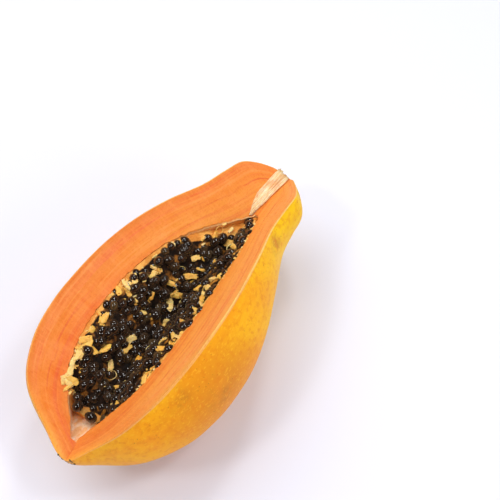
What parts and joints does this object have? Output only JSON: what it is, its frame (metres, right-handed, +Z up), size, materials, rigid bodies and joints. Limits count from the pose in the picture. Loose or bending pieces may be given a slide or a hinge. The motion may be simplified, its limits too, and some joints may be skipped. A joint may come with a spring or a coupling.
{
  "type": "papaya with a wedge cut out",
  "caption": "Ripe pear-shaped papaya lying on its belly, with a long wedge cut out that shows the flesh, the pulp and the black seeds in its cavity.",
  "frame": {"origin": "on the surface that the fruit lies on, under the middle of its box", "axes": "+Z up; +X along the fruit, from the blossom tip to the stem; the wedge opens upwards, with its flatter cut face on the +Y side"},
  "size_m": [0.2234, 0.1188, 0.0937],
  "materials": {
    "fruit_skin_and_flesh": "waxy yellow-orange skin with a soft gloss, and moist salmon-orange flesh on the cut faces",
    "woody_stem": "pale cream, fibrous and dry",
    "seed_pulp": "torn yellow-orange membrane, slightly moist",
    "seeds": "black-brown seeds in clear wet coats, glossy"
  },
  "bodies": {
    "root": {"fruit": "fruit_skin_and_flesh", "stem_strand": "woody_stem", "seed_pulp": "seed_pulp", "seeds": "seeds"}
  },
  "joints": []
}
